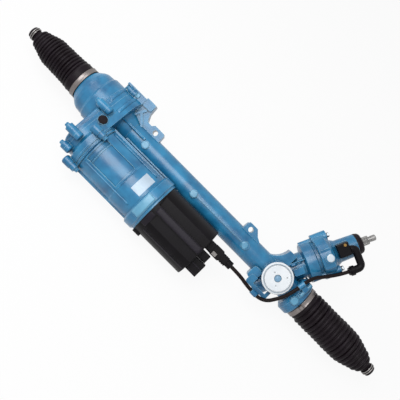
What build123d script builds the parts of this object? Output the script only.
from build123d import *

import math
import os

# An electric power-steering rack for a car: a belt drives a ball nut on the rack bar.
# Every piece is drawn flat: X runs along the rack bar to the pinion end, Y points to the
# input shaft's side and Z points out through the yoke plug. The whole is then rolled
# about X until its motor lies level with its pinion casting on the ground.

# Fits and gaps
RUN_GAP = 0.05          # radial clearance of a running fit
SOFT_GAP = 0.3          # clearance between a soft or loose piece and its neighbour
END_GAP = 1.0           # gap left where a moving face stops short of a fixed one

# Rack bar and its travel from the pose at rest
RACK_R = 13.0
RACK_IN = 50.0          # travel toward +X, the pinion end
RACK_OUT = 76.0         # travel toward -X, the ball nut end
PINION_X = 175.0        # where the pinion's axis crosses the rack bar

# Pinion and rack teeth
PINION_ANGLE = 66.0     # between the pinion's axis and the rack bar
TOOTH_MODULE = 2.0
PINION_TEETH = 9
PRESSURE_ANGLE = 20.0
PINION_ADDENDUM = 2.6
RACK_ADDENDUM = 1.0
TOOTH_TIP_GAP = 0.3
BACKLASH = 0.16
PINION_FACE = 30.0
MESH_DEPTH = 9.0        # from the rack bar's axis to the pitch line

# Housing tube
TUBE_R = 20.0
TUBE_BORE_R = 15.0
END_FLANGE_R = 32.0
END_FLANGE_X = 207.0
END_FLANGE_LENGTH = 20.0
BOOT_SEAT_R = 26.0
BOOT_SEAT_LENGTH = 17.0
STOP_BORE_R = 21.0
STOP_BORE_DEPTH = 25.0
STOP_THICKNESS = 3.0
BUSH_LENGTH = 18.0
BUSH_WALL = 3.0
PAD_R = 6.6
PAD_RISE = 1.6
PAD_XS = (-123.0, -14.0, 102.0)
RIB_WIDTH = 1.6
RIB_RISE = 0.9

# Mounting ears on the tube
EAR_XS = (-126.5, 91.5)
EAR_HOLE_R = 4.5
EAR_HOLE_Y = 24.5
EAR_TOP_Y = 33.0
EAR_WIDTH = 22.0
EAR_THICKNESS = 20.0

# Belt case round the ball nut
PART_X = -198.0         # the plane where cover and housing meet
CASE_MOTOR_R = 34.0
CASE_WALL = 3.2
BELT_CLEARANCE = 1.3    # between the belt and the case's wall
CASE_DEPTH = 24.0       # the half on the housing
COVER_FLANGE = 14.0     # the cover's lobe over the belt
COVER_RIM = 6.0         # its full-size rim at the parting plane
COVER_STEP = 8.0        # by which the lobe is smaller than the rim round the motor
DOME_REACH = 33.0       # from the nut's bearing out to the end of the dome
DOME_R = 38.5
NOSE_LENGTH = 22.0
CASE_BOLT_R = 3.0
CASE_BOLT_REACH = 3.5   # from the case's outline out to its bolts
CASE_LUG_R = 7.0
CASE_LUG_LENGTH = 8.0   # on the housing's half
LONG_LUG = 17.0         # on the cover, where the bolt's head stands clear of the dome
SHORT_LUG = 7.0
CASE_BOLT_HEAD = 5.0    # radius and height of every case bolt's head
CASE_RIM = 13.0         # the raised rim at the case's end wall
CASE_RIM_RISE = 1.4
CASE_PLUG_R = 7.4
CASE_PLUG_Y = -20.0

# Belt drive and ball nut
BELT_PITCH = 3.0
NUT_TEETH = 76
MOTOR_TEETH = 28
BELT_WIDTH = 20.0
BELT_THICKNESS = 2.2
NUT_R = 20.0
NUT_LENGTH = 49.0
NUT_BEARING_R = 31.0
NUT_BEARING_WIDTH = 15.0
BALL_R = 2.4
BALL_COUNT = 6

# Motor and control unit
MOTOR_Y = -59.0
MOTOR_Z = 38.0
MOTOR_R = 43.0
MOTOR_WALL = 3.5
MOTOR_LENGTH = 112.0
MOTOR_FLANGE = 8.0
MOTOR_FLANGE_R = 43.5
MOTOR_BOLT_PCR = 47.5
MOTOR_BOLT_ANGLES = (60.0, 150.0, 266.0)
MOTOR_BOLT_R = 3.0
MOTOR_BOLT_GRIP = 6.5   # of the bolt's thread in the case
MOTOR_LUG_R = 6.5
MOTOR_BOSS = 15.0       # length of the case's boss behind each motor bolt
SHAFT_R = 5.0
ROTOR_R = 18.0
AIR_GAP = 0.8
STACK_LENGTH = 62.0
BEARING_R = 13.0
BEARING_WIDTH = 9.0
ECU_FLANGE_R = 48.0
ECU_FLANGE_LENGTH = 21.5
ECU_R = 44.0
ECU_LENGTH = 96.5
ECU_WALL = 2.5
ECU_SCREW_R = 2.0
ECU_SCREW_ANGLES = (-4.0, 176.0, 236.0, 300.0)
ECU_SCREW_GRIP = 8.0    # of the screw's thread in the flange
ECU_SCREW_SEAT = 4.0    # thickness of the cover under the screw's head
ECU_HOLLOW_R = 28.0
BOARD_STANDOFF = 20.0   # from the flange to the circuit board
BOARD_THICKNESS = 1.6
BOARD_PARTS_HEIGHT = 6.4

# Pinion tower, measured along the pinion's axis from the rack bar
NECK_R = 22.0
FOOT_R = 19.5
FOOT_L = -36.0
COLLAR_R = 33.0
COLLAR_L = 53.0
COLLAR_LENGTH = 18.0
SPIGOT_R = 24.0
SPIGOT_LENGTH = 12.0
SPIGOT_WALL = 2.5
SENSOR_NECK = 5.0
SENSOR_R = 36.5
SENSOR_LENGTH = 23.0
TOWER_R = 18.0
TOWER_TOP_L = 143.0
TOWER_BOLT_R = 3.0
TOWER_BOLT_PCR = 31.5
TOWER_BOLT_ANGLES = (0.0, 142.0, 218.0)
TOWER_LUG_R = 7.0
TOP_LUG_R = 9.5
PINION_BEARING_R = 14.0
PINION_BEARING_WIDTH = 11.0
PINION_JOURNAL_R = 7.0
INPUT_R = 8.0
INPUT_BEARING_R = 15.0
INPUT_BEARING_WIDTH = 9.0
TORSION_BAR_R = 3.0
CAP_R = 16.6
CAP_LENGTH = 9.5
SPLINE_R = 7.4
SPLINE_COUNT = 24
SPLINE_DEPTH = 0.9
SPLINE_LENGTH = 12.5
INPUT_TIP_L = 178.0
INPUT_NOSE_R = 5.0
INPUT_WAIST_R = 4.6     # between the splines and the nose

# Yoke and its plug
YOKE_X = 172.0
YOKE_BOSS_R = 25.0
YOKE_BOSS_TOP = 32.0
YOKE_R = 20.0
YOKE_LENGTH = 19.0
YOKE_FOOT_Z = 5.0
PLUG_R = 25.3
PLUG_FLANGE = 4.5
PLUG_THREAD = 6.0
DISC_SPRING = 1.2

# Ball joints, tie rods and boots
SOCKET_R = 17.5
SOCKET_LENGTH = 28.0
SOCKET_STUD_R = 7.0
SOCKET_STUD_LENGTH = 20.0
BALL_JOINT_R = 11.0
SEAT_WALL = 2.5
SEAT_GAP = 0.1
BALL_IN_SOCKET = 16.0   # from the socket's inner face to the ball's centre
SWING = 20.0            # degrees each way
TIE_ROD_R = 7.5
PIN_NECK_R = 6.2        # the ball pin's waist, which limits the swing
TIE_THREAD_R = 5.0
TIE_THREAD_LENGTH = 16.0
LEFT_END_X = -384.0
RIGHT_END_X = 391.0
BOOT_WALL = 1.4
BOOT_FOLD_DEPTH = 3.0
CLAMP_WIDTH = 8.0
CLAMP_WALL = 0.9
NECK_CLAMP_WIDTH = 9.0
NECK_LENGTH = 12.0
NECK_SLOPE = 3.0        # from the neck to the first fold
LEFT_CONVOLUTIONS = 15
RIGHT_CONVOLUTIONS = 18
# Folds counted from the neck and the bellows' outer radius there
LEFT_STATIONS = ((0, 15.5), (3, 21.0), (5.6, 25.4), (10.6, 26.0), (14, 27.0))
RIGHT_STATIONS = ((0, 14.0), (1.2, 19.5), (3.4, 24.2), (5.5, 28.6), (7.8, 29.6), (12.2, 29.2), (16.9, 29.6))

# Lug and bracket under the yoke boss
LUG_X = 143.0
BRACKET_LENGTH = 40.0
LUG_TOP = 23.4

# Cable
CABLE_R = 3.0
CLIP_WALL = 1.2
CABLE_POINTS = (
    (107.0, -38.5, 38.0),
    (128.0, -38.5, 38.0),
    (147.0, -42.5, 30.0),
    (182.0, -43.5, 29.0),
    (197.5, -18.0, 34.0),
    (203.5, 3.0, 38.0),
    (209.0, 37.0, 34.0),
    (226.0, 54.0, 16.0),
)
CABLE_ENTRY = 16.0      # straight run into the elbow
LOWER_CLIP_LENGTH = 11.0
UPPER_CLIP_LENGTH = 11.0

# Places that follow from the sizes above
MOTOR_AT = Pos(0, MOTOR_Y, MOTOR_Z)
CENTRES = math.hypot(MOTOR_Y, MOTOR_Z)
PINION_PITCH_R = TOOTH_MODULE * PINION_TEETH / 2
PINION_DROP = MESH_DEPTH + PINION_PITCH_R
TOWER_AT = Pos(PINION_X, 0, -PINION_DROP) * Rot(0, 0, PINION_ANGLE)
YOKE_AT = Pos(YOKE_X, 0, 0) * Rot(0, -90, 0)
BELT_X = PART_X - 7.0
NUT_BEARING_X = BELT_X - 9.0 - NUT_BEARING_WIDTH
DOME_END_X = NUT_BEARING_X - DOME_REACH
NOSE_X = DOME_END_X - NOSE_LENGTH
LEFT_STOP_X = NOSE_X + STOP_BORE_DEPTH
END_FLANGE_END = END_FLANGE_X + END_FLANGE_LENGTH
RIGHT_FACE_X = END_FLANGE_END + BOOT_SEAT_LENGTH
RIGHT_STOP_X = RIGHT_FACE_X - STOP_BORE_DEPTH
RACK_LEFT_X = LEFT_STOP_X - STOP_THICKNESS - RACK_IN - END_GAP
RACK_RIGHT_X = RIGHT_STOP_X + STOP_THICKNESS + RACK_OUT + END_GAP
PLATE_X = PART_X + CASE_DEPTH
MOTOR_END_X = PLATE_X + MOTOR_LENGTH
ECU_X = MOTOR_END_X + ECU_FLANGE_LENGTH
ECU_END_X = ECU_X + ECU_LENGTH
NUT_PULLEY_R = NUT_TEETH * BELT_PITCH / (2 * math.pi)
MOTOR_PULLEY_R = MOTOR_TEETH * BELT_PITCH / (2 * math.pi)
CASE_R = NUT_PULLEY_R + BELT_THICKNESS + BELT_CLEARANCE + CASE_WALL
COLLAR_TOP = COLLAR_L + COLLAR_LENGTH
SENSOR_L = COLLAR_TOP + SENSOR_NECK
SENSOR_TOP = SENSOR_L + SENSOR_LENGTH
BALL_LEFT_X = RACK_LEFT_X - BALL_IN_SOCKET
BALL_RIGHT_X = RACK_RIGHT_X + BALL_IN_SOCKET


def turned(points):
    """A solid turned about X from (x, radius) points."""
    outline = make_face(Polyline(*[(x, r) for x, r in points], close=True))
    return revolve(outline, Axis.X)


def bar(radius, x0, x1, y=0.0, z=0.0):
    """A round bar along X."""
    return Pos((x0 + x1) / 2, y, z) * Rot(0, 90, 0) * Cylinder(radius, x1 - x0)


def ring(outer, inner, x0, x1):
    """A plain ring about X."""
    return bar(outer, x0, x1) - bar(inner, x0 - 1, x1 + 1)


def post(radius, x, y, z0, z1):
    """A round bar along Z."""
    return Pos(x, y, (z0 + z1) / 2) * Cylinder(radius, z1 - z0)


def block(x0, x1, y0, y1, z0, z1):
    """A box between two corners."""
    middle = Pos((x0 + x1) / 2, (y0 + y1) / 2, (z0 + z1) / 2)
    return middle * Box(x1 - x0, y1 - y0, z1 - z0)


def plate(points, z0, z1):
    """A flat plate with an outline in XY."""
    outline = make_face(Polyline(*points, close=True))
    return extrude(Pos(0, 0, z0) * outline, z1 - z0)


def belt_loop(rack_r, motor_r, x0, x1):
    """The hull of two circles, round the rack's axis and the motor's, along X."""
    along_y, along_z = MOTOR_Y / CENTRES, MOTOR_Z / CENTRES
    lean = (rack_r - motor_r) / CENTRES
    side = math.sqrt(1 - lean * lean)
    corners = []
    for y, z, r, turn in (
        (0, 0, rack_r, 1),
        (MOTOR_Y, MOTOR_Z, motor_r, 1),
        (MOTOR_Y, MOTOR_Z, motor_r, -1),
        (0, 0, rack_r, -1),
    ):
        corners.append(
            (
                y + r * (along_y * lean - turn * along_z * side),
                z + r * (along_z * lean + turn * along_y * side),
            )
        )
    sketch = make_face(Polyline(*corners, close=True)) + Circle(rack_r)
    sketch += Pos(MOTOR_Y, MOTOR_Z) * Circle(motor_r)
    return extrude(Plane.YZ.offset(x0) * sketch, x1 - x0)


def around(count, radius, start=0.0):
    """Y and Z of points spread evenly on a circle."""
    for index in range(count):
        angle = math.radians(start + 360 * index / count)
        yield radius * math.cos(angle), radius * math.sin(angle)


def polar(radius, angles):
    """Y and Z of points on a circle at the angles given in degrees."""
    turns = [math.radians(angle) for angle in angles]
    return [(radius * math.cos(turn), radius * math.sin(turn)) for turn in turns]


def front_normal():
    """Y and Z of the outward normal of the belt case's flat front."""
    along_y, along_z = MOTOR_Y / CENTRES, MOTOR_Z / CENTRES
    lean = (CASE_R - CASE_MOTOR_R) / CENTRES
    side = math.sqrt(1 - lean * lean)
    return along_y * lean + along_z * side, along_z * lean - along_y * side


def front_height(y, reach):
    """Z of the line that runs along the case's flat front at a distance outside it."""
    normal_y, normal_z = front_normal()
    return (CASE_R + reach - normal_y * y) / normal_z


def case_bolt_places():
    """Y and Z of the belt case's bolts round its loop, and how far their lugs stand on the cover."""
    rack_reach = CASE_R + CASE_BOLT_REACH
    motor_reach = CASE_MOTOR_R + CASE_BOLT_REACH
    yield -3.0, front_height(-3.0, CASE_BOLT_REACH), LONG_LUG
    for degrees, lug in ((15, SHORT_LUG), (-60, LONG_LUG), (-112, LONG_LUG)):
        angle = math.radians(degrees)
        yield rack_reach * math.cos(angle), rack_reach * math.sin(angle), lug
    for degrees, lug in ((93, LONG_LUG), (136, SHORT_LUG), (229, SHORT_LUG)):
        angle = math.radians(degrees)
        yield MOTOR_Y + motor_reach * math.cos(angle), MOTOR_Z + motor_reach * math.sin(angle), lug


def case_plug_place():
    """Square to the case's slanted front, with local Z pointing out of it."""
    normal_y, normal_z = front_normal()
    tilt = -math.degrees(math.atan2(normal_y, normal_z))
    return Pos(PART_X + 1 + CASE_PLUG_R, CASE_PLUG_Y, front_height(CASE_PLUG_Y, 0)) * Rot(tilt, 0, 0)


# Rack bar, ball joints and tie rods
def rack_teeth():
    """The spaces cut between the rack's teeth, slanted to the pinion's axis."""
    pitch = math.pi * TOOTH_MODULE
    shift = (PINION_ADDENDUM - RACK_ADDENDUM) / 2
    slope = math.tan(math.radians(PRESSURE_ANGLE))
    pinion_tooth = pitch / 2 + 2 * shift * slope
    space = pinion_tooth + BACKLASH
    depth = PINION_ADDENDUM + TOOTH_TIP_GAP
    top = RACK_ADDENDUM + 1.0
    outline = [
        (-space / 2 - top * slope, top),
        (space / 2 + top * slope, top),
        (space / 2 - depth * slope, -depth),
        (-space / 2 + depth * slope, -depth),
    ]
    lean = Pos(PINION_X, 0, -MESH_DEPTH) * Rot(0, 0, PINION_ANGLE)
    profile = Plane(origin=(-30, 0, 0), x_dir=(0, -1, 0), z_dir=(1, 0, 0))
    one = lean * extrude(profile * make_face(Polyline(*outline, close=True)), 60)
    step = pitch / math.sin(math.radians(PINION_ANGLE))
    first = -math.floor((RACK_IN + PINION_FACE / 2) / step)
    last = math.floor((RACK_OUT + PINION_FACE / 2) / step)
    return [Pos(index * step, 0, 0) * one for index in range(first, last + 1)]


def make_rack_bar():
    tip = MESH_DEPTH + RACK_ADDENDUM
    body = bar(RACK_R, RACK_LEFT_X, RACK_RIGHT_X)
    body = chamfer(body.edges().filter_by(GeomType.CIRCLE), 1.0)
    start = PINION_X - RACK_IN - PINION_FACE / 2
    end = PINION_X + RACK_OUT + PINION_FACE / 2
    body -= block(start, end, -RACK_R, RACK_R, -2 * RACK_R, -tip)
    body -= rack_teeth()
    drill = SOCKET_STUD_LENGTH + 2
    body -= bar(SOCKET_STUD_R + RUN_GAP, RACK_LEFT_X - 1, RACK_LEFT_X + drill)
    body -= bar(SOCKET_STUD_R + RUN_GAP, RACK_RIGHT_X - drill, RACK_RIGHT_X + 1)
    return body


def outward(side):
    """Turns a piece drawn toward +X from a ball centre to the left or right end."""
    return Pos(BALL_RIGHT_X, 0, 0) if side > 0 else Pos(BALL_LEFT_X, 0, 0) * Rot(0, 0, 180)


def make_ball_socket(side):
    """The steel cup that screws into the rack bar's end, drawn about the ball's centre."""
    back = -BALL_IN_SOCKET
    front = back + SOCKET_LENGTH
    body = turned(
        [
            (back - SOCKET_STUD_LENGTH, 0),
            (back - SOCKET_STUD_LENGTH, SOCKET_STUD_R),
            (back, SOCKET_STUD_R),
            (back, SOCKET_R - 2),
            (back + 2, SOCKET_R),
            (front - 4, SOCKET_R),
            (front, SOCKET_R - 2.5),
            (front, 0),
        ]
    )
    body -= revolve(half_disc(BALL_JOINT_R + SEAT_WALL + RUN_GAP, 4.5), Axis.X)
    body -= revolve(half_disc(BALL_JOINT_R + SEAT_GAP, 7.0), Axis.X)
    body -= turned([(3, 0), (3, mouth_r(3)), (front + 1, mouth_r(front + 1)), (front + 1, 0)])
    for face in (1, -1):
        body -= Pos(back + 5, face * (SOCKET_R + 3.6), 0) * Box(10.2, 10, 3 * SOCKET_R)
    return outward(side) * body


def mouth_r(x):
    """The cup's mouth, wide enough for the pin's waist at full swing."""
    swing = math.radians(SWING)
    return x * math.tan(swing) + PIN_NECK_R / math.cos(swing) + 0.6


def half_disc(radius, x1):
    """The half outline of a ball about the origin, cut off at x1, to be turned about X."""
    start, end = (-radius, 0), (x1, math.sqrt(radius * radius - x1 * x1))
    middle_x = (x1 - radius) / 2
    middle = (middle_x, math.sqrt(radius * radius - middle_x * middle_x))
    arc = ThreePointArc(start, middle, end)
    return make_face([arc, Line(end, (x1, 0)), Line((x1, 0), start)])


def make_ball_seat(side):
    """The plastic shell between ball and cup, open toward the tie rod."""
    mouth = 4.5
    outer = half_disc(BALL_JOINT_R + SEAT_WALL, mouth)
    shell = outer - half_disc(BALL_JOINT_R + SEAT_GAP, mouth)
    return outward(side) * revolve(shell, Axis.X)


def make_tie_rod(side):
    """Ball pin and the rod's threaded end, drawn about the ball's centre."""
    end = RIGHT_END_X - BALL_RIGHT_X if side > 0 else BALL_LEFT_X - LEFT_END_X
    neck_x = math.sqrt(BALL_JOINT_R * BALL_JOINT_R - PIN_NECK_R * PIN_NECK_R)
    rod = revolve(half_disc(BALL_JOINT_R, neck_x), Axis.X)
    rod += turned([(neck_x, 0), (neck_x, PIN_NECK_R), (14, PIN_NECK_R), (18, TIE_ROD_R), (end, TIE_ROD_R), (end, 0)])
    rod -= bar(TIE_THREAD_R, end - TIE_THREAD_LENGTH, end + 1)
    return outward(side) * rod


def make_neck_clamp(side):
    """Spring band on the boot's neck, with the two ears that open it."""
    end = RIGHT_END_X - BALL_RIGHT_X if side > 0 else BALL_LEFT_X - LEFT_END_X
    inner = TIE_ROD_R + SOFT_GAP + BOOT_WALL + SOFT_GAP
    x1 = end - 2
    x0 = x1 - NECK_CLAMP_WIDTH
    body = ring(inner + 1.0, inner, x0, x1)
    for turn in (-1, 1):
        ear = block(x0 + 1, x1 - 1, inner + 0.6, inner + 3.4, -0.6, 0.6)
        body += Rot(turn * 12 - 125, 0, 0) * ear
    return outward(side) * body


def fold_radius(fold, stations):
    """The bellows' outer radius at a fold, between the stations."""
    for (fold0, r0), (fold1, r1) in zip(stations, stations[1:]):
        if fold0 <= fold <= fold1:
            return r0 + (r1 - r0) * (fold - fold0) / (fold1 - fold0)
    return stations[-1][1]


def bellows_outline(stations, convolutions, start, pitch):
    """Outer (x, radius) points of the bellows, a valley and a crest for each fold."""
    points = []
    for fold in range(convolutions):
        valley = fold_radius(fold, stations) - BOOT_FOLD_DEPTH
        points.append((start + pitch * fold, valley))
        points.append((start + pitch * (fold + 0.5), fold_radius(fold + 0.5, stations)))
    return points


def make_boot(side, seat_x, mouth_x, stations, convolutions):
    """Bellows drawn from its neck at x = 0 along +X, then turned to its end."""
    end = RIGHT_END_X if side > 0 else LEFT_END_X
    length = abs(end - mouth_x)
    neck_r = TIE_ROD_R + SOFT_GAP + BOOT_WALL
    seat = abs(end - seat_x)
    seat_r = BOOT_SEAT_R + SOFT_GAP + BOOT_WALL
    start = NECK_LENGTH + NECK_SLOPE
    pitch = (seat - 1 - start) / convolutions
    folds = bellows_outline(stations, convolutions, start, pitch)
    outer = [(0, 0), (0, neck_r), (NECK_LENGTH, neck_r), *folds, (seat, seat_r), (length, seat_r), (length, 0)]
    solid = turned(outer)
    neck_in = TIE_ROD_R + SOFT_GAP
    mouth_in = BOOT_SEAT_R + SOFT_GAP
    depth = BOOT_FOLD_DEPTH + BOOT_WALL + 0.6
    inner = [(-1, 0), (-1, neck_in), (start, neck_in)]
    inner += [(start + pitch * fold, radius - depth) for fold, radius in stations[1:]]
    inner += [(seat - 3, mouth_in), (length + 1, mouth_in), (length + 1, 0)]
    solid -= turned(inner)
    place = Pos(end, 0, 0) * Rot(0, 0, 180) if side > 0 else Pos(end, 0, 0)
    return place * solid


def make_boots():
    left_seat = NOSE_X + 1
    right_seat = RIGHT_FACE_X - 1
    left = make_boot(-1, left_seat, DOME_END_X - 0.5, LEFT_STATIONS, LEFT_CONVOLUTIONS)
    right = make_boot(1, right_seat, END_FLANGE_END + 0.5, RIGHT_STATIONS, RIGHT_CONVOLUTIONS)
    return left, right


def make_boot_clamps():
    """The wide bands that hold the boots on the castings, with their crimped ears."""
    inner = BOOT_SEAT_R + SOFT_GAP + BOOT_WALL + SOFT_GAP
    clamps = []
    for x0, ear_turn in ((DOME_END_X - 0.7 - CLAMP_WIDTH, 200), (END_FLANGE_END + 1, 12)):
        band = ring(inner + CLAMP_WALL, inner, x0, x0 + CLAMP_WIDTH)
        ear = block(x0 + 0.5, x0 + CLAMP_WIDTH - 0.5, -3.2, 3.2, inner + 0.4, inner + 3.2)
        ear = fillet(ear.edges().filter_by(Axis.X).group_by(Axis.Z)[-1], 1.0)
        clamps.append(band + Rot(ear_turn, 0, 0) * ear)
    return clamps


# Castings
def make_left_ear(x):
    """The ear beside the belt case: its web runs on to the case, its right side is square."""
    outline = [(-26, 8), (-25, 28), (-12, 28.5), (-8, EAR_TOP_Y), (11, EAR_TOP_Y), (13.5, EAR_TOP_Y - 3), (15, 8)]
    return plate([(x + across, y) for across, y in outline], -EAR_THICKNESS / 2, EAR_THICKNESS / 2)


def make_right_ear(x):
    """The ear beside the pinion casting, with its run-out toward it."""
    half = EAR_WIDTH / 2
    outline = [
        (x - half - 1.5, 8),
        (x - half, EAR_TOP_Y - 4),
        (x - half + 3, EAR_TOP_Y),
        (x + half - 4, EAR_TOP_Y),
        (x + half + 5, 24),
        (x + half + 14, 19),
        (x + half + 18, 8),
    ]
    return plate(outline, -EAR_THICKNESS / 2, EAR_THICKNESS / 2)


def tower_casting():
    """The pinion's casting, turned along the pinion's axis."""
    return TOWER_AT * turned(
        [
            (FOOT_L, 0),
            (FOOT_L, FOOT_R - 2),
            (FOOT_L + 2, FOOT_R),
            (FOOT_L + 14, FOOT_R),
            (-14, NECK_R),
            (COLLAR_L - 2.5, NECK_R),
            (COLLAR_L, COLLAR_R - 1),
            (COLLAR_L + 1, COLLAR_R),
            (COLLAR_TOP - 1.5, COLLAR_R),
            (COLLAR_TOP, COLLAR_R - 1.5),
            (COLLAR_TOP, 0),
        ]
    )


def neck_flare():
    """The web that runs from the tube's top in a hollow curve up the tower's left side."""
    tube_point, neck_point = (PINION_X - 40, TUBE_R - 3), (PINION_X - 14.5, 46)
    hollow = ThreePointArc(tube_point, (PINION_X - 24.5, 25), neck_point)
    back = Polyline(neck_point, (PINION_X, 46), (PINION_X, TUBE_R - 3), tube_point)
    return extrude(Pos(0, 0, -16) * make_face([hollow, back]), 24)


def tower_bores():
    seat = PINION_BEARING_R + RUN_GAP
    upper_seat = SPIGOT_R + RUN_GAP
    return TOWER_AT * turned(
        [
            (FOOT_L - 1, 0),
            (FOOT_L - 1, seat),
            (-PINION_FACE / 2 - 7, seat),
            (-PINION_FACE / 2 - 7, 12.4),
            (PINION_FACE / 2 + 8, 12.4),
            (PINION_FACE / 2 + 8, seat),
            (PINION_FACE / 2 + 8 + PINION_BEARING_WIDTH, seat),
            (COLLAR_L - 9, 18),
            (COLLAR_TOP - SPIGOT_LENGTH - 1, 18),
            (COLLAR_TOP - SPIGOT_LENGTH - 1, upper_seat),
            (COLLAR_TOP + 1, upper_seat),
            (COLLAR_TOP + 1, 0),
        ]
    )


def tower_bolt_places():
    return polar(TOWER_BOLT_PCR, TOWER_BOLT_ANGLES)


def case_cone():
    """The short cone from the belt case's end wall down to the tube."""
    return turned(
        [
            (PLATE_X - 2, 0),
            (PLATE_X - 2, TUBE_R + 10),
            (PLATE_X + 3, TUBE_R + 6),
            (PLATE_X + 19, TUBE_R + 0.5),
            (PLATE_X + 19, 0),
        ]
    )


def case_web():
    """The web between the belt case's upper block and the ear, with its slanted ribs."""
    outline = [(-2, 10), (-0.5, 56), (19, 56), (20.5, 40), (26, 29), (37, 28), (37, 10)]
    web = plate([(PLATE_X + x, y) for x, y in outline], -9, 10)
    cap = block(PLATE_X, PLATE_X + 19, 42, 56, -11, 14)
    web += fillet(cap.edges().filter_by(Axis.Z), 3.0)
    for x, y, turn in ((7, 30, 62), (17, 24, -45)):
        rib = Pos(PLATE_X + x, y, 5.5) * Rot(0, 0, turn) * Box(24, 4, 15)
        web += rib
    return web


def make_rack_housing():
    body = bar(TUBE_R, PLATE_X - 2, END_FLANGE_X + 2)
    # belt-case half, its block on top and the cone down to the tube
    half = belt_loop(CASE_R, CASE_MOTOR_R, PART_X, PLATE_X)
    body += half
    rim = belt_loop(CASE_R + CASE_RIM_RISE, CASE_MOTOR_R + CASE_RIM_RISE, PLATE_X - CASE_RIM, PLATE_X)
    body += chamfer(rim.edges().group_by(Axis.X)[0], CASE_RIM_RISE / 2)
    for y, z, _ in case_bolt_places():
        lug = bar(CASE_LUG_R, PART_X, PART_X + CASE_LUG_LENGTH, y, z)
        body += fillet(lug.edges().group_by(Axis.X)[-1], 2.5)
    body += MOTOR_AT * turned(
        [
            (PLATE_X - 16, 0),
            (PLATE_X - 16, CASE_MOTOR_R - 2),
            (PLATE_X - 8, MOTOR_FLANGE_R),
            (PLATE_X, MOTOR_FLANGE_R),
            (PLATE_X, 0),
        ]
    )
    for y, z in motor_bolt_places():
        boss = bar(MOTOR_LUG_R + 1, PLATE_X - MOTOR_BOSS, PLATE_X, y, z)
        body += MOTOR_AT * fillet(boss.edges().group_by(Axis.X)[0], 3.0)
    body += case_cone()
    body += block(PART_X, PLATE_X + 1, 30, 53, -12, 15)
    body += post(4.6, PART_X + 7, 42, 10, 16.4)
    body += case_plug_place() * post(CASE_PLUG_R + 0.9, 0, 0, -12, 3)
    body += case_web()
    # right end flange and boot seat
    body += turned(
        [
            (END_FLANGE_X, 0),
            (END_FLANGE_X, END_FLANGE_R - 5),
            (END_FLANGE_X + 5, END_FLANGE_R),
            (END_FLANGE_END - 2, END_FLANGE_R),
            (END_FLANGE_END, END_FLANGE_R - 2),
            (END_FLANGE_END, BOOT_SEAT_R),
            (RIGHT_FACE_X - 1, BOOT_SEAT_R),
            (RIGHT_FACE_X, BOOT_SEAT_R - 1),
            (RIGHT_FACE_X, 0),
        ]
    )
    body += post(PAD_R + 0.6, END_FLANGE_X + 9, -6, 20, END_FLANGE_R + PAD_RISE)
    body -= post(PAD_R + 0.6, END_FLANGE_X + 9, -6, 33, 40) - post(PAD_R - 0.9, END_FLANGE_X + 9, -6, 32, 41)
    body += block(END_FLANGE_X + 7, END_FLANGE_X + 13, 5, 30, 0, END_FLANGE_R + PAD_RISE)
    foot = block(LUG_X - 8, LUG_X + 8, -31, -10, 4, LUG_TOP)
    body += fillet(foot.edges().filter_by(Axis.Z), 5.0)
    # pinion casting and yoke boss
    body += tower_casting()
    body += post(YOKE_BOSS_R, YOKE_X, 0, 0, YOKE_BOSS_TOP)
    for y, z in tower_bolt_places():
        body += TOWER_AT * bar(TOWER_LUG_R - 2, COLLAR_L + 1, COLLAR_TOP, y, z)
    # ribs from the neck to the collar, pads and the parting rib along the tube
    body += TOWER_AT * block(16, COLLAR_L + 1, 10.5, 12.3, 0, 26)
    body += fillet(block(29, 46, -10, 1.5, 0, 27).edges().filter_by(Axis.Z), 2.0).moved(TOWER_AT)
    body += neck_flare()
    for x in PAD_XS:
        body += post(PAD_R, x, 0, 0, TUBE_R + PAD_RISE)
    body += block(-8, 96, -RIB_WIDTH / 2, RIB_WIDTH / 2, 0, TUBE_R + RIB_RISE)
    body += block(PLATE_X, EAR_XS[0] - 3, 4, 7, 0, TUBE_R + 3)
    body += block(PLATE_X + 22, EAR_XS[0] + 72, -14.5, -12.5, 0, TUBE_R - 3)
    body += make_left_ear(EAR_XS[0])
    body += make_right_ear(EAR_XS[1])
    # bores
    body -= bar(TUBE_BORE_R, PART_X - 1, RIGHT_FACE_X)
    body -= bar(RACK_R + BUSH_WALL + RUN_GAP, RIGHT_STOP_X - 2 - BUSH_LENGTH, RIGHT_STOP_X)
    body -= bar(STOP_BORE_R, RIGHT_STOP_X, RIGHT_FACE_X + 1)
    body -= belt_loop(CASE_R - CASE_WALL, CASE_MOTOR_R - CASE_WALL, PART_X - 1, PLATE_X - 6)
    body -= MOTOR_AT * bar(BEARING_R + 3, PLATE_X - 7, PLATE_X + 1)
    body -= MOTOR_AT * bar(MOTOR_FLANGE_R + SOFT_GAP, PLATE_X, MOTOR_END_X)
    body -= case_plug_place() * post(CASE_PLUG_R + RUN_GAP, 0, 0, -CASE_WALL - 2, 8)
    body -= tower_bores()
    body -= post(YOKE_R + RUN_GAP, YOKE_X, 0, YOKE_FOOT_Z - 1, YOKE_BOSS_TOP + 1)
    for y, z, _ in case_bolt_places():
        body -= bar(CASE_BOLT_R + RUN_GAP, PART_X - 1, PART_X + CASE_LUG_LENGTH - 1.5, y, z)
    for y, z in tower_bolt_places():
        body -= TOWER_AT * bar(TOWER_BOLT_R + RUN_GAP, COLLAR_L + 2, COLLAR_TOP + 1, y, z)
    for y, z in motor_bolt_places():
        body -= MOTOR_AT * bar(MOTOR_BOLT_R + RUN_GAP, PLATE_X - MOTOR_BOLT_GRIP - 1, PLATE_X + 1, y, z)
    body -= YOKE_AT * ring(YOKE_BOSS_R - 2, YOKE_R, YOKE_BOSS_TOP - 1.5, YOKE_BOSS_TOP + 1)
    for x in EAR_XS:
        body -= post(EAR_HOLE_R, x, EAR_HOLE_Y, -EAR_THICKNESS, EAR_THICKNESS)
    return body


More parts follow.
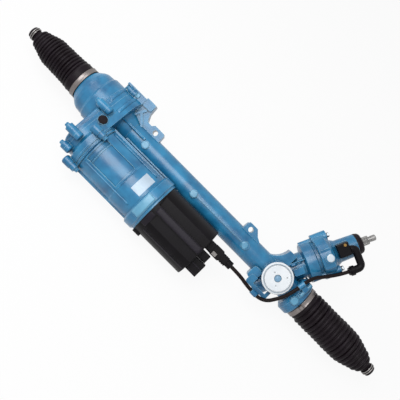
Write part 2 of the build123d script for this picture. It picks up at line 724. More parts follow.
def make_gear_cover():
    flange_x = PART_X - COVER_FLANGE
    body = turned(
        [
            (NOSE_X, 0),
            (NOSE_X, BOOT_SEAT_R - 1),
            (NOSE_X + 1, BOOT_SEAT_R),
            (DOME_END_X, BOOT_SEAT_R),
            (DOME_END_X, BOOT_SEAT_R + 1.5),
            (DOME_END_X + 3, BOOT_SEAT_R + 4),
            (DOME_END_X + 11, DOME_R - 2.5),
            (DOME_END_X + 16, DOME_R - 0.5),
            (NUT_BEARING_X - 5.5, DOME_R + 0.5),
            (NUT_BEARING_X - 2, DOME_R + 2.5),
            (flange_x, DOME_R + 2.8),
            (flange_x + 4, DOME_R + 2.8),
            (flange_x + 4, 0),
        ]
    )
    lobe = belt_loop(CASE_R, CASE_MOTOR_R - COVER_STEP, flange_x, PART_X - 1)
    body += fillet(lobe.edges().group_by(Axis.X)[0], 3.0)
    rim = belt_loop(CASE_R, CASE_MOTOR_R, PART_X - COVER_RIM, PART_X)
    body += fillet(rim.edges().group_by(Axis.X)[0], 1.5)
    for y, z, lug in case_bolt_places():
        body += bar(CASE_LUG_R, PART_X - lug, PART_X, y, z)
    # the square corner on top, with its cast pad and the sunk bolt
    corner = block(flange_x - 1, PART_X, 30, 53, -12, 15)
    body += fillet(corner.edges().filter_by(Axis.Z).group_by(Axis.X)[0], 2.5)
    body += block(flange_x + 3, PART_X - 2, 36, 46, 0, 16.2)
    y, z, lug = list(case_bolt_places())[1]
    body -= bar(CASE_BOLT_HEAD + SOFT_GAP, flange_x - 2, PART_X - lug, y, z)
    # insides: stop bore, bearing seat and belt chamber
    body -= bar(STOP_BORE_R, NOSE_X - 1, LEFT_STOP_X)
    body -= bar(RACK_R + 1.6, NOSE_X, PART_X + 1)
    body -= bar(NUT_R + 1, NUT_BEARING_X - 3, PART_X)
    body -= bar(NUT_BEARING_R + RUN_GAP, NUT_BEARING_X, PART_X)
    body -= belt_loop(CASE_R - CASE_WALL, CASE_MOTOR_R - COVER_STEP - CASE_WALL, BELT_X - 3, PART_X + 1)
    for y, z, lug in case_bolt_places():
        body -= bar(CASE_BOLT_R + RUN_GAP, PART_X - lug - 1, PART_X + 1, y, z)
    body -= seal_loop(RUN_GAP)
    return body


def make_case_plug():
    plug = post(CASE_PLUG_R, 0, 0, -3.5, 4.2)
    return case_plug_place() * fillet(plug.edges().group_by(Axis.Z)[-1], 0.8)


def make_case_bolts():
    bolts = []
    for y, z, lug in case_bolt_places():
        seat = PART_X - lug
        shank = bar(CASE_BOLT_R, seat, PART_X + CASE_LUG_LENGTH - 2.5, y, z)
        head = bar(CASE_BOLT_HEAD, seat - CASE_BOLT_HEAD, seat, y, z)
        bolts.append(shank + chamfer(head.edges().group_by(Axis.X)[0], 0.8))
    return bolts


def seal_loop(fit):
    """The gasket in its groove in the cover's face, or the groove where fit is above 0."""
    outer = belt_loop(CASE_R - 1.0 + fit, CASE_MOTOR_R - 1.0 + fit, PART_X - 1.0 - fit, PART_X)
    return outer - belt_loop(CASE_R - 2.2 - fit, CASE_MOTOR_R - 2.2 - fit, PART_X - 2, PART_X + 1)


# Ball nut and belt drive
def make_ball_nut():
    x0 = NUT_BEARING_X - 2
    x1 = x0 + NUT_LENGTH
    body = ring(NUT_R, RACK_R + SOFT_GAP, x0, x1)
    body += ring(NUT_R + 1.5, NUT_R - 1, BELT_X - 8.5, BELT_X - 0.5)
    channel = (NUT_R + RACK_R) / 2
    body -= bar(BALL_R + RUN_GAP, ball_train_x(), ball_train_x() + 2 * BALL_R * BALL_COUNT, 0, channel)
    return body


def ball_train_x():
    return NUT_BEARING_X + 12


def make_balls():
    """The train of balls on its way back through the nut's return channel."""
    channel = (NUT_R + RACK_R) / 2
    first = ball_train_x() + BALL_R
    return [Pos(first + 2 * BALL_R * n, 0, channel) * Sphere(BALL_R - 0.01) for n in range(BALL_COUNT)]


def make_nut_bearing():
    x0 = NUT_BEARING_X
    return ring(NUT_BEARING_R, NUT_R + RUN_GAP, x0, x0 + NUT_BEARING_WIDTH)


def make_nut_pulley():
    rim = ring(NUT_PULLEY_R - SOFT_GAP, NUT_R + RUN_GAP, BELT_X, BELT_X + BELT_WIDTH + 2)
    return rim - ring(NUT_PULLEY_R - 5, NUT_R + 4, BELT_X + 6, BELT_X + BELT_WIDTH + 3)


def make_motor_pulley():
    return MOTOR_AT * ring(MOTOR_PULLEY_R - SOFT_GAP, SHAFT_R + RUN_GAP, BELT_X, BELT_X + BELT_WIDTH + 2)


def make_belt():
    x0 = BELT_X + 1
    x1 = x0 + BELT_WIDTH
    inside = belt_loop(NUT_PULLEY_R, MOTOR_PULLEY_R, x0 - 1, x1 + 1)
    return belt_loop(NUT_PULLEY_R + BELT_THICKNESS, MOTOR_PULLEY_R + BELT_THICKNESS, x0, x1) - inside


# Motor
def motor_bolt_places():
    return polar(MOTOR_BOLT_PCR, MOTOR_BOLT_ANGLES)


def make_motor_housing():
    """The painted can with its flange, side rails and the shallow window on its front."""
    x0, x1 = PLATE_X, MOTOR_END_X
    body = turned(
        [
            (x0, 0),
            (x0, MOTOR_FLANGE_R),
            (x0 + 2.6, MOTOR_FLANGE_R),
            (x0 + 3.2, MOTOR_FLANGE_R - 1.2),
            (x0 + 4.4, MOTOR_FLANGE_R - 1.2),
            (x0 + 5.0, MOTOR_FLANGE_R),
            (x0 + MOTOR_FLANGE, MOTOR_FLANGE_R),
            (x0 + MOTOR_FLANGE, MOTOR_R - 2),
            (x0 + MOTOR_FLANGE + 2, MOTOR_R - 1),
            (x0 + 74, MOTOR_R - 1),
            (x0 + 76, MOTOR_R),
            (x1, MOTOR_R),
            (x1, 0),
        ]
    )
    for y, z in motor_bolt_places():
        body += bar(MOTOR_LUG_R, x0, x0 + MOTOR_FLANGE, y, z)
    for y, z in ((MOTOR_R - 2, 6), (-MOTOR_R + 2, 6)):
        body += block(x0 + MOTOR_FLANGE - 2, x1, y - 2.5, y + 2.5, z - 5, z + 5)
    window = ring(MOTOR_R + 5, MOTOR_R - 3.0, x0 + 12, x0 + 21)
    window += ring(MOTOR_R + 5, MOTOR_R - 2.2, x0 + 22.5, x0 + 72)
    body -= window & block(x0 + 10, x0 + 74, -16.5, 23.5, 0, 80)
    # inside: bearing seat and the bore for the stator
    body -= bar(SHAFT_R + 1.5, x0 - 1, x1)
    body -= bar(BEARING_R + RUN_GAP, x0 + 2, x0 + MOTOR_FLANGE + 5)
    body -= bar(MOTOR_R - MOTOR_WALL, x0 + MOTOR_FLANGE + 4, x1 + 1)
    for y, z in motor_bolt_places():
        body -= bar(MOTOR_BOLT_R + RUN_GAP, x0 - 1, x0 + MOTOR_FLANGE + 1, y, z)
    return MOTOR_AT * body


def make_motor_bolts():
    bolts = []
    for y, z in motor_bolt_places():
        seat = PLATE_X + MOTOR_FLANGE
        shank = bar(MOTOR_BOLT_R, PLATE_X - MOTOR_BOLT_GRIP, seat, y, z)
        head = bar(1.6 * MOTOR_BOLT_R, seat, seat + 1.7 * MOTOR_BOLT_R, y, z)
        bolts.append(MOTOR_AT * (shank + head))
    return bolts


def stack_x():
    return PLATE_X + MOTOR_FLANGE + 20


def make_motor_shaft():
    return MOTOR_AT * bar(SHAFT_R, BELT_X, MOTOR_END_X + 12)


def make_rotor():
    return MOTOR_AT * ring(ROTOR_R, SHAFT_R + RUN_GAP, stack_x(), stack_x() + STACK_LENGTH)


def make_stator():
    body = ring(MOTOR_R - MOTOR_WALL - RUN_GAP, ROTOR_R + AIR_GAP, stack_x(), stack_x() + STACK_LENGTH)
    for y, z in around(6, ROTOR_R + 10, 30):
        body -= bar(4.5, stack_x() - 1, stack_x() + STACK_LENGTH + 1, y, z)
    return MOTOR_AT * body


def make_motor_bearings():
    front = PLATE_X + 2.5
    rear = MOTOR_END_X + 2
    return [MOTOR_AT * ring(BEARING_R, SHAFT_R + RUN_GAP, x, x + BEARING_WIDTH) for x in (front, rear)]


# Control unit
def ecu_screw_places():
    return polar(ECU_R - 3, ECU_SCREW_ANGLES)


def make_ecu_flange():
    """The blue ring that closes the motor and carries the control unit."""
    x0, x1 = MOTOR_END_X, ECU_X
    body = turned(
        [
            (x0, 0),
            (x0, ECU_FLANGE_R - 3),
            (x0 + 3, ECU_FLANGE_R),
            (x1 - 5, ECU_FLANGE_R),
            (x1 - 2.5, ECU_FLANGE_R - 2.5),
            (x1, ECU_FLANGE_R - 2.5),
            (x1, 0),
        ]
    )
    body += ring(ECU_FLANGE_R + 1.0, ECU_FLANGE_R - 4, x0 + 2, x0 + 16) & block(x0, x0 + 18, -27, 14, 0, 60)
    body -= bar(BEARING_R + RUN_GAP, x0 - 1, x0 + 2 + BEARING_WIDTH)
    body -= bar(SHAFT_R + 1.5, x0, x0 + 14)
    for y, z in ecu_screw_places():
        body -= bar(ECU_SCREW_R + RUN_GAP, x1 - ECU_SCREW_GRIP - 2, x1 + 1, y, z)
    return MOTOR_AT * body


def make_ecu_cover():
    """The black cover: round at the back, with a flat top, a ridge and a sunk front panel."""
    x0, x1 = ECU_X, ECU_END_X
    outer = bar(ECU_R, x0, x1)
    outer -= block(x0 + 3, x1 + 1, 11.5, 60, ECU_R - 9, 60)
    outer -= block(x0 + 11, x1 + 1, -28, -1.2, ECU_R - 3.5, 60)
    outer -= block(x0 + 11, x1 + 1, -60, -28, ECU_R - 12, 60)
    outer += block(x0, x0 + 13, -ECU_R - 3.5, -30, -7, 9)
    body = fillet(outer.edges().group_by(Axis.X)[-1], 1.2)
    body -= bar(ECU_HOLLOW_R, x0 - 1, x1 - ECU_WALL)
    for y, z in ecu_screw_places():
        body -= bar(ECU_SCREW_R + RUN_GAP, x0 - 1, x0 + ECU_SCREW_SEAT + 0.01, y, z)
        body -= bar(ECU_SCREW_R + 2.5, x0 + ECU_SCREW_SEAT, x0 + ECU_SCREW_SEAT + 6, y, z)
    return MOTOR_AT * body


def make_ecu_screws():
    screws = []
    for y, z in ecu_screw_places():
        seat = ECU_X + ECU_SCREW_SEAT
        shank = bar(ECU_SCREW_R, ECU_X - ECU_SCREW_GRIP, seat, y, z)
        head = bar(1.9 * ECU_SCREW_R, seat, seat + 1.25 * ECU_SCREW_R, y, z)
        screws.append(MOTOR_AT * (shank + head))
    return screws


def make_ecu_board():
    x0 = ECU_X + BOARD_STANDOFF
    x1 = x0 + BOARD_THICKNESS
    board = bar(ECU_HOLLOW_R - SOFT_GAP, x0, x1)
    half = ECU_HOLLOW_R / 3
    board += block(x1, x1 + BOARD_PARTS_HEIGHT, -half, half, -half, half)
    return MOTOR_AT * board


# Y and Z centres and half sizes of the sockets on the control unit's end
SENSOR_SOCKET = (20.5, 2.0, 8.5, 7.0)
SIGNAL_SOCKET = (2.5, 8.0, 6.8, 10.0)
POWER_SOCKET = (-17.5, 8.0, 12.0, 11.0)


def socket_shell(place, depth, wall):
    y, z, half_y, half_z = place
    x0 = ECU_END_X
    body = block(x0, x0 + depth, y - half_y, y + half_y, z - half_z, z + half_z)
    body = fillet(body.edges().filter_by(Axis.X), 2.0)
    hollow = block(
        x0 + 4,
        x0 + depth + 1,
        y - half_y + wall,
        y + half_y - wall,
        z - half_z + wall,
        z + half_z - wall,
    )
    return MOTOR_AT * (body - hollow)


def make_sensor_plug():
    """The plug in the sensor socket, stepped down to its cable."""
    y, z, half_y, half_z = SENSOR_SOCKET
    x0 = ECU_END_X + 4
    body = block(x0, x0 + 16, y - half_y + 2, y + half_y - 2, z - half_z + 2, z + half_z - 2)
    grip = block(x0 + 8.5, x0 + 24, y - half_y - 0.6, y + half_y + 0.6, z - half_z, z + half_z)
    body += fillet(grip.edges().filter_by(Axis.X), 2.0)
    rear = block(x0 + 23, x0 + 37, y - 8.0, y + 7.5, z - 6, z + 6)
    body += fillet(rear.edges().filter_by(Axis.X), 2.5)
    for x in (x0 + 26, x0 + 30, x0 + 34):
        body -= ring(20, 7.2, x, x + 1.6).moved(Pos(0, y, z))
    body += bar(6.5, x0 + 36, CABLE_POINTS[0][0], y, z - 2)
    return MOTOR_AT * body


def make_plug_latch():
    y, z, half_y, half_z = SENSOR_SOCKET
    x0 = ECU_END_X + 14
    return MOTOR_AT * block(x0, x0 + 8, y - half_y + 1, y - half_y + 7, z + half_z, z + half_z + 2)


# Pinion, torsion bar and input shaft
def involute(angle):
    return math.tan(angle) - angle


def pinion_outline():
    """One involute tooth repeated round the pinion, in the plane across its axis."""
    pressure = math.radians(PRESSURE_ANGLE)
    base_r = PINION_PITCH_R * math.cos(pressure)
    tip_r = PINION_PITCH_R + PINION_ADDENDUM
    root_r = PINION_PITCH_R - RACK_ADDENDUM - TOOTH_TIP_GAP
    shift = (PINION_ADDENDUM - RACK_ADDENDUM) / 2
    thickness = math.pi * TOOTH_MODULE / 2 + 2 * shift * math.tan(pressure)
    half = thickness / (2 * PINION_PITCH_R) + involute(pressure)
    steps = 5
    flank = []
    for step in range(steps + 1):
        radius = base_r + (tip_r - base_r) * step / steps
        angle = half - involute(math.acos(min(1.0, base_r / radius)))
        flank.append((radius, angle))
    points = []
    for tooth in range(PINION_TEETH):
        middle = 2 * math.pi * tooth / PINION_TEETH
        sides = [(root_r, -half), *[(r, -a) for r, a in flank]]
        sides += [(r, a) for r, a in reversed(flank)] + [(root_r, half)]
        for radius, angle in sides:
            turn = middle + angle
            points.append((radius * math.cos(turn), radius * math.sin(turn)))
    return points


def make_pinion():
    face = PINION_FACE / 2
    profile = Plane(origin=(-face, 0, 0), x_dir=(0, 0, 1), z_dir=(1, 0, 0))
    body = extrude(profile * make_face(Polyline(*pinion_outline(), close=True)), PINION_FACE)
    journal = PINION_JOURNAL_R
    body += bar(journal, -face - 6 - PINION_BEARING_WIDTH, face + 9 + PINION_BEARING_WIDTH)
    head = face + 9 + PINION_BEARING_WIDTH
    body += turned([(head - 1, 0), (head - 1, 9), (head + 2, 13), (COLLAR_TOP - 6, 13), (COLLAR_TOP - 6, 0)])
    body -= bar(INPUT_R + RUN_GAP, head + 6, COLLAR_TOP)
    body -= bar(TORSION_BAR_R + RUN_GAP, 0, COLLAR_TOP)
    return TOWER_AT * body


def make_pinion_bearings():
    face = PINION_FACE / 2
    lower = -face - 6 - PINION_BEARING_WIDTH
    upper = face + 8
    rings = []
    for x0 in (lower - 1, upper):
        rings.append(TOWER_AT * ring(PINION_BEARING_R, PINION_JOURNAL_R + RUN_GAP, x0, x0 + PINION_BEARING_WIDTH))
    return rings


def make_end_cap():
    """The cap pressed in the casting's foot under the lower bearing."""
    return TOWER_AT * turned(
        [
            (FOOT_L - 4, 0),
            (FOOT_L - 4, 11),
            (FOOT_L - 3, 12.5),
            (FOOT_L, 12.5),
            (FOOT_L, PINION_BEARING_R),
            (FOOT_L + 2.5, PINION_BEARING_R),
            (FOOT_L + 2.5, 0),
        ]
    )


def make_torsion_bar():
    return TOWER_AT * bar(TORSION_BAR_R, 1, TOWER_TOP_L + 8)


def make_input_shaft():
    start = PINION_FACE / 2 + 9 + PINION_BEARING_WIDTH + 7
    cap_top = TOWER_TOP_L + CAP_LENGTH
    waist = cap_top + SPLINE_LENGTH
    body = turned(
        [
            (start, 0),
            (start, INPUT_R),
            (COLLAR_TOP - 4, INPUT_R),
            (COLLAR_TOP - 4, INPUT_R + 3),
            (SENSOR_TOP, INPUT_R + 3),
            (SENSOR_TOP, INPUT_R),
            (cap_top - 2, INPUT_R),
            (cap_top, SPLINE_R),
            (waist, SPLINE_R),
            (waist + 1, INPUT_WAIST_R),
            (waist + 4, INPUT_WAIST_R),
            (waist + 4.5, INPUT_NOSE_R),
            (INPUT_TIP_L - 1.2, INPUT_NOSE_R),
            (INPUT_TIP_L, INPUT_NOSE_R - 1.2),
            (INPUT_TIP_L, 0),
        ]
    )
    grooves = []
    for y, z in around(SPLINE_COUNT, SPLINE_R):
        turn = math.degrees(math.atan2(z, y))
        notch = Pos(waist - SPLINE_LENGTH / 2, SPLINE_R, 0) * Rot(45, 0, 0)
        notch *= Box(SPLINE_LENGTH - 2, SPLINE_DEPTH, SPLINE_DEPTH)
        grooves.append(Rot(turn, 0, 0) * notch)
    body -= grooves
    body -= bar(TORSION_BAR_R + RUN_GAP, 0, TOWER_TOP_L + 8)
    return TOWER_AT * body


# Torque sensor's housing and what it holds
def make_sensor_housing():
    start = COLLAR_TOP - SPIGOT_LENGTH
    body = turned(
        [
            (start, 0),
            (start, SPIGOT_R),
            (COLLAR_TOP, SPIGOT_R),
            (COLLAR_TOP, COLLAR_R - 3),
            (SENSOR_L, COLLAR_R - 3),
            (SENSOR_L, SENSOR_R - 1.5),
            (SENSOR_L + 1.5, SENSOR_R),
            (SENSOR_TOP - 5, SENSOR_R),
            (SENSOR_TOP, SENSOR_R - 5),
            (SENSOR_TOP + 3, TOWER_R + 6),
            (SENSOR_TOP + 12, TOWER_R + 1),
            (TOWER_TOP_L, TOWER_R),
            (TOWER_TOP_L, 0),
        ]
    )
    for y, z in tower_bolt_places():
        radius = TOP_LUG_R if y > TOWER_BOLT_PCR - 1 else TOWER_LUG_R
        body += bar(radius, SENSOR_L, SENSOR_TOP + 3, y, z)
        body += bar(TOWER_LUG_R - 2, COLLAR_TOP, SENSOR_L + 1, y, z)
    body += block(SENSOR_L + 2, SENSOR_TOP - 4, -16, 16, 0, SENSOR_R - 2)
    body += post(7.6, SENSOR_L + 13, 0, 0, SENSOR_R + 1.4)
    # the flat shelf for the sensor's connector
    body += block(SENSOR_TOP + 6, SENSOR_TOP + 27, -9, 15, 0, TOWER_R + 0.5)
    body -= block(SENSOR_TOP + 7.9, SENSOR_TOP + 28, -8.1, 14.1, TOWER_R + 0.5, 60)
    # insides
    body -= bar(SPIGOT_R - SPIGOT_WALL, start - 1, SENSOR_TOP - 3)
    body -= bar(INPUT_R + 4, start, SENSOR_TOP + 14)
    body -= bar(INPUT_R + 1, start, TOWER_TOP_L + 1)
    body -= bar(INPUT_BEARING_R + RUN_GAP, TOWER_TOP_L - 2 - INPUT_BEARING_WIDTH, TOWER_TOP_L + 1)
    for y, z in tower_bolt_places():
        body -= bar(TOWER_BOLT_R + RUN_GAP, COLLAR_TOP - 1, SENSOR_TOP + 4, y, z)
    return TOWER_AT * body


def make_tower_bolts():
    bolts = []
    seat = SENSOR_TOP + 3
    for y, z in tower_bolt_places():
        shank = bar(TOWER_BOLT_R, COLLAR_L + 4, seat, y, z)
        head = bar(5.0, seat, seat + 5, y, z)
        bolts.append(TOWER_AT * (shank + head))
    return bolts


def make_tower_seal():
    """The O-ring in the corner under the spigot."""
    centre = COLLAR_TOP - SPIGOT_LENGTH - 0.5
    return TOWER_AT * ring(SPIGOT_R - 0.2, SPIGOT_R - 2.0, centre - 0.4, centre + 0.4)


def make_torque_sensor():
    """The coil ring round the torsion bar, with its carrier toward the connector."""
    outer = SPIGOT_R - SPIGOT_WALL - RUN_GAP
    body = ring(outer, INPUT_R + 5, COLLAR_TOP + 1, SENSOR_TOP - 4)
    return TOWER_AT * (body - ring(outer + 1, outer - 3, COLLAR_TOP + 8, SENSOR_TOP - 11))


def make_input_bearing():
    x0 = TOWER_TOP_L - 2 - INPUT_BEARING_WIDTH
    return TOWER_AT * ring(INPUT_BEARING_R, INPUT_R + RUN_GAP, x0, x0 + INPUT_BEARING_WIDTH)


def make_dust_cap():
    top = TOWER_TOP_L + CAP_LENGTH
    body = turned(
        [
            (TOWER_TOP_L, 0),
            (TOWER_TOP_L, CAP_R + 1.4),
            (TOWER_TOP_L + 2.5, CAP_R + 1.4),
            (top - 2, CAP_R),
            (top, CAP_R - 2),
            (top, 0),
        ]
    )
    body -= bar(INPUT_R + SOFT_GAP, TOWER_TOP_L - 1, top + 1)
    return TOWER_AT * body


def make_sensor_connector():
    """The black socket on the shelf, with the plug that turns away from the tower."""
    shelf = TOWER_R + 0.5
    body = block(SENSOR_TOP + 8, SENSOR_TOP + 27, -8, 14, shelf, shelf + 12)
    return TOWER_AT * fillet(body.edges().filter_by(Axis.X), 2.0)


def make_connector_screw():
    shelf = TOWER_R + 0.5
    x, y = SENSOR_TOP + 21, 10.5
    return TOWER_AT * post(2.4, x, y, shelf + 12, shelf + 13.6)


ELBOW_R = 6.2
ELBOW_POINTS = ((127.0, 0.0, 24.8), (134.5, 0.0, 24.8), (134.5, -33.0, 25.0), (121.0, -33.0, 26.0), (111.5, -32.4, 26.6))


def make_sensor_elbow():
    """The plug's moulded elbow, from the connector down to the cable."""
    path = FilletPolyline(*ELBOW_POINTS, radius=6.8)
    section = Plane(origin=path @ 0, z_dir=path % 0) * Circle(ELBOW_R)
    body = sweep(section, path=path)
    heading = (Vector(*ELBOW_POINTS[-1]) - Vector(*ELBOW_POINTS[-2])).normalized()
    collar = Plane(origin=Vector(*ELBOW_POINTS[-1]) - heading * 9, z_dir=heading) * Circle(ELBOW_R + 1.8)
    body += extrude(collar, 6)
    return TOWER_AT * body


# Yoke
def make_yoke():
    top = YOKE_FOOT_Z + YOKE_LENGTH
    body = YOKE_AT * bar(YOKE_R, YOKE_FOOT_Z, top)
    body -= bar(RACK_R + RUN_GAP, YOKE_X - 40, YOKE_X + 40)
    body -= YOKE_AT * bar(11, top - 4, top + 1)
    return body


def make_yoke_spring():
    """A disc spring between the yoke and its plug."""
    x0 = YOKE_FOOT_Z + YOKE_LENGTH
    x1 = plug_floor()
    t = DISC_SPRING
    return YOKE_AT * turned([(x0, 18), (x0, 18.6), (x0 + 0.2, 18.9), (x1, 10.2), (x1, 9.0), (x1 - t, 9.0)])


def plug_floor():
    return YOKE_BOSS_TOP - PLUG_THREAD


def make_yoke_plug():
    top = YOKE_BOSS_TOP + PLUG_FLANGE
    body = turned(
        [
            (plug_floor(), 0),
            (plug_floor(), YOKE_R - RUN_GAP),
            (YOKE_BOSS_TOP, YOKE_R - RUN_GAP),
            (YOKE_BOSS_TOP, PLUG_R),
            (top - 1.2, PLUG_R),
            (top, PLUG_R - 1.2),
            (top, PLUG_R - 3.7),
            (top - 1, PLUG_R - 4.2),
            (top, PLUG_R - 4.9),
            (top, 0),
        ]
    )
    body -= bar(5.9, top - 3.5, top + 1)
    for x, y in ((-10.0, 3.3), (9.8, 11.0), (5.9, -10.5)):
        body -= Rot(0, 90, 0) * Pos(x, y, top) * Sphere(1.3)
    return YOKE_AT * body


def make_yoke_seal():
    return YOKE_AT * ring(YOKE_BOSS_R - 2.2, YOKE_R + 0.3, YOKE_BOSS_TOP - 1.5, YOKE_BOSS_TOP)


# Bush and end stops
def make_rack_bush():
    end = RIGHT_STOP_X - 2
    return ring(RACK_R + BUSH_WALL, RACK_R + RUN_GAP, end - BUSH_LENGTH, end)


def make_end_stops():
    left = ring(STOP_BORE_R - RUN_GAP, RACK_R + 1.6, LEFT_STOP_X - STOP_THICKNESS, LEFT_STOP_X)
    right = ring(STOP_BORE_R - RUN_GAP, RACK_R + 1.6, RIGHT_STOP_X, RIGHT_STOP_X + STOP_THICKNESS)
    return [left, right]


# Cable, its clips and their bracket
def run_turn(before, here, after):
    """The angle by which the route turns at a point, and the shorter of its two runs."""
    first = Vector(*here) - Vector(*before)
    second = Vector(*after) - Vector(*here)
    return math.radians(first.get_angle(second)), min(first.length, second.length)


def tower_point(along, across, out):
    """A point of the tower's own frame in the flat frame."""
    slant = math.radians(PINION_ANGLE)
    return (
        PINION_X + along * math.cos(slant) - across * math.sin(slant),
        along * math.sin(slant) + across * math.cos(slant),
        out - PINION_DROP,
    )


def cable_route():
    """The chosen points, then straight into the elbow's mouth."""
    mouth = Vector(*tower_point(*ELBOW_POINTS[-1]))
    behind = Vector(*tower_point(*ELBOW_POINTS[-2]))
    before = mouth + (mouth - behind).normalized() * CABLE_ENTRY
    return (*CABLE_POINTS, tuple(before), tuple(mouth))


def cable_path():
    """Straight runs joined by tangent arcs, each as large as its two runs allow."""
    points = cable_route()
    edges = []
    start = Vector(*points[0])
    for before, here, after in zip(points, points[1:], points[2:]):
        angle, run = run_turn(before, here, after)
        corner = Vector(*here)
        back = (Vector(*before) - corner).normalized()
        ahead = (Vector(*after) - corner).normalized()
        reach = 0.45 * run
        print("cable arc radius", round(reach / math.tan(angle / 2), 1))
        arc_start = corner + back * reach
        arc_end = corner + ahead * reach
        edges.append(Edge.make_line(start, arc_start))
        edges.append(Edge.make_tangent_arc(arc_start, back * -1, arc_end))
        start = arc_end
    edges.append(Edge.make_line(start, Vector(*points[-1])))
    return Wire(edges)


def make_cable():
    path = cable_path()
    section = Plane(origin=path @ 0, z_dir=path % 0) * Circle(CABLE_R)
    tube = sweep(section, path=path)
    print("cable length", round(path.length, 1), "volume", round(tube.volume, 1),
          "section times length", round(math.pi * CABLE_R**2 * path.length, 1))
    return tube


def clip_on(first, second, along, length):
    """A tube clip round the straight of one cable run, from its distance along the run."""
    start, end = Vector(*first), Vector(*second)
    heading = (end - start).normalized()
    seat = Plane(origin=start + heading * (along - length / 2), z_dir=heading)
    band = Circle(CABLE_R + RUN_GAP + CLIP_WALL) - Circle(CABLE_R + RUN_GAP)
    return extrude(seat * band, length)


def make_cable_clips():
    """The clip on the bracket and the one strapped to the end flange's rib."""
    lower = clip_on(CABLE_POINTS[2], CABLE_POINTS[3], 15.5, LOWER_CLIP_LENGTH)
    upper = clip_on(CABLE_POINTS[5], CABLE_POINTS[6], 15.6, UPPER_CLIP_LENGTH)
    rib_top = END_FLANGE_R + PAD_RISE
    strap = block(END_FLANGE_X + 3.2, END_FLANGE_X + 12, 13.5, 23, rib_top, rib_top + CLIP_WALL)
    return [lower, upper + strap]


def make_clip_bracket():
    """The pressed strip from the housing's lug round the yoke boss, slotted, to the lower clip."""
    end = LUG_X + BRACKET_LENGTH
    strip = block(LUG_X - 3, end, -39.0, -22.0, LUG_TOP, LUG_TOP + CLIP_WALL)
    strip = fillet(strip.edges().filter_by(Axis.Z), 4.0)
    strip += block(LUG_X + 9, end - 5, -39.0, -37.6, LUG_TOP - 3.5, LUG_TOP + CLIP_WALL)
    strip -= block(LUG_X + 9, end - 6, -32.5, -20.0, LUG_TOP - 1, LUG_TOP + 2)
    strip -= YOKE_AT * bar(YOKE_BOSS_R + SOFT_GAP, 0, YOKE_BOSS_TOP)
    strip += block(LUG_X + 12, end - 12, -42.5, -37.7, LUG_TOP, LUG_TOP + CLIP_WALL)
    return strip


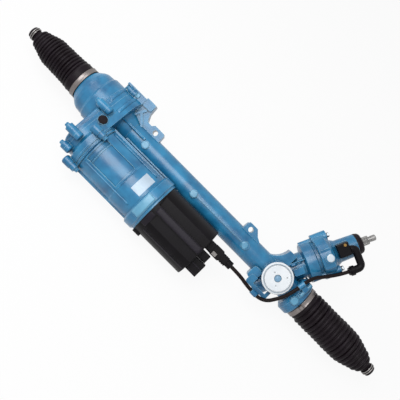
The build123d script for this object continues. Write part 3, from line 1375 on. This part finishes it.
def assemble():
    """Every node's name with its solid or group of solids, drawn flat."""
    left_boot, right_boot = make_boots()
    return {
        "rack_housing": make_rack_housing(),
        "gear_cover": make_gear_cover(),
        "gear_cover_bolts": make_case_bolts(),
        "gear_cover_seal": seal_loop(0.0),
        "case_plug": make_case_plug(),
        "ball_nut": make_ball_nut(),
        "recirculating_balls": make_balls(),
        "nut_bearing": make_nut_bearing(),
        "nut_pulley": make_nut_pulley(),
        "drive_belt": make_belt(),
        "motor_pulley": make_motor_pulley(),
        "motor_housing": make_motor_housing(),
        "motor_bolts": make_motor_bolts(),
        "motor_shaft": make_motor_shaft(),
        "motor_rotor": make_rotor(),
        "motor_stator": make_stator(),
        "motor_bearings": make_motor_bearings(),
        "ecu_flange": make_ecu_flange(),
        "ecu_cover": make_ecu_cover(),
        "ecu_screws": make_ecu_screws(),
        "ecu_board": make_ecu_board(),
        "sensor_socket": socket_shell(SENSOR_SOCKET, 12.0, 1.8),
        "signal_socket": socket_shell(SIGNAL_SOCKET, 17.0, 1.8),
        "power_socket": socket_shell(POWER_SOCKET, 21.0, 2.0),
        "sensor_plug": make_sensor_plug(),
        "plug_latch": make_plug_latch(),
        "sensor_cable": make_cable(),
        "cable_clips": make_cable_clips(),
        "clip_bracket": make_clip_bracket(),
        "pinion": make_pinion(),
        "pinion_bearings": make_pinion_bearings(),
        "pinion_end_cap": make_end_cap(),
        "torsion_bar": make_torsion_bar(),
        "input_shaft": make_input_shaft(),
        "torque_sensor_housing": make_sensor_housing(),
        "tower_bolts": make_tower_bolts(),
        "tower_seal": make_tower_seal(),
        "torque_sensor": make_torque_sensor(),
        "input_bearing": make_input_bearing(),
        "dust_cap": make_dust_cap(),
        "sensor_connector": make_sensor_connector(),
        "connector_screw": make_connector_screw(),
        "sensor_elbow": make_sensor_elbow(),
        "yoke": make_yoke(),
        "yoke_spring": make_yoke_spring(),
        "yoke_plug": make_yoke_plug(),
        "yoke_seal": make_yoke_seal(),
        "rack_bush": make_rack_bush(),
        "end_stops": make_end_stops(),
        "rack_bar": make_rack_bar(),
        "ball_sockets": [make_ball_socket(-1), make_ball_socket(1)],
        "ball_seats": [make_ball_seat(-1), make_ball_seat(1)],
        "tie_rod_left": make_tie_rod(-1),
        "tie_rod_right": make_tie_rod(1),
        "boot_left": left_boot,
        "boot_right": right_boot,
        "boot_clamps": make_boot_clamps(),
        "neck_clamp_left": make_neck_clamp(-1),
        "neck_clamp_right": make_neck_clamp(1),
    }


def lay_down(pieces):
    """Rolls the part about X onto its motor and pinion casting, with its base at Z = 0."""
    slant = math.radians(PINION_ANGLE)
    rise = math.degrees(math.atan2(MOTOR_Z, -MOTOR_Y))

    def drops(roll):
        sine, cosine = math.sin(math.radians(roll)), math.cos(math.radians(roll))
        lean = math.sin(slant) * sine
        foot = -FOOT_L * lean + PINION_DROP * cosine + FOOT_R * math.sqrt(1 - lean * lean)
        motor = ECU_FLANGE_R - CENTRES * math.sin(math.radians(rise - roll))
        return foot - motor

    low, high = 0.0, 80.0
    for _ in range(40):
        middle = (low + high) / 2
        if drops(middle) > 0:
            low = middle
        else:
            high = middle
    rolled = {}
    for name, shapes in pieces.items():
        shapes = shapes if isinstance(shapes, list) else [shapes]
        rolled[name] = Compound([Rot(low, 0, 0) * solid for shape in shapes for solid in shape.solids()])
    box = Compound(list(rolled.values())).bounding_box()
    shift = Pos(-(box.min.X + box.max.X) / 2, -(box.min.Y + box.max.Y) / 2, -box.min.Z)
    print("roll", round(low, 4), "shift", tuple(round(v, 4) for v in shift.position))
    print("size", box.size)
    return {name: shift * shape for name, shape in rolled.items()}


os.makedirs("parts", exist_ok=True)
for node, shape in lay_down(assemble()).items():
    export_step(shape, os.path.join("parts", node + ".step"))
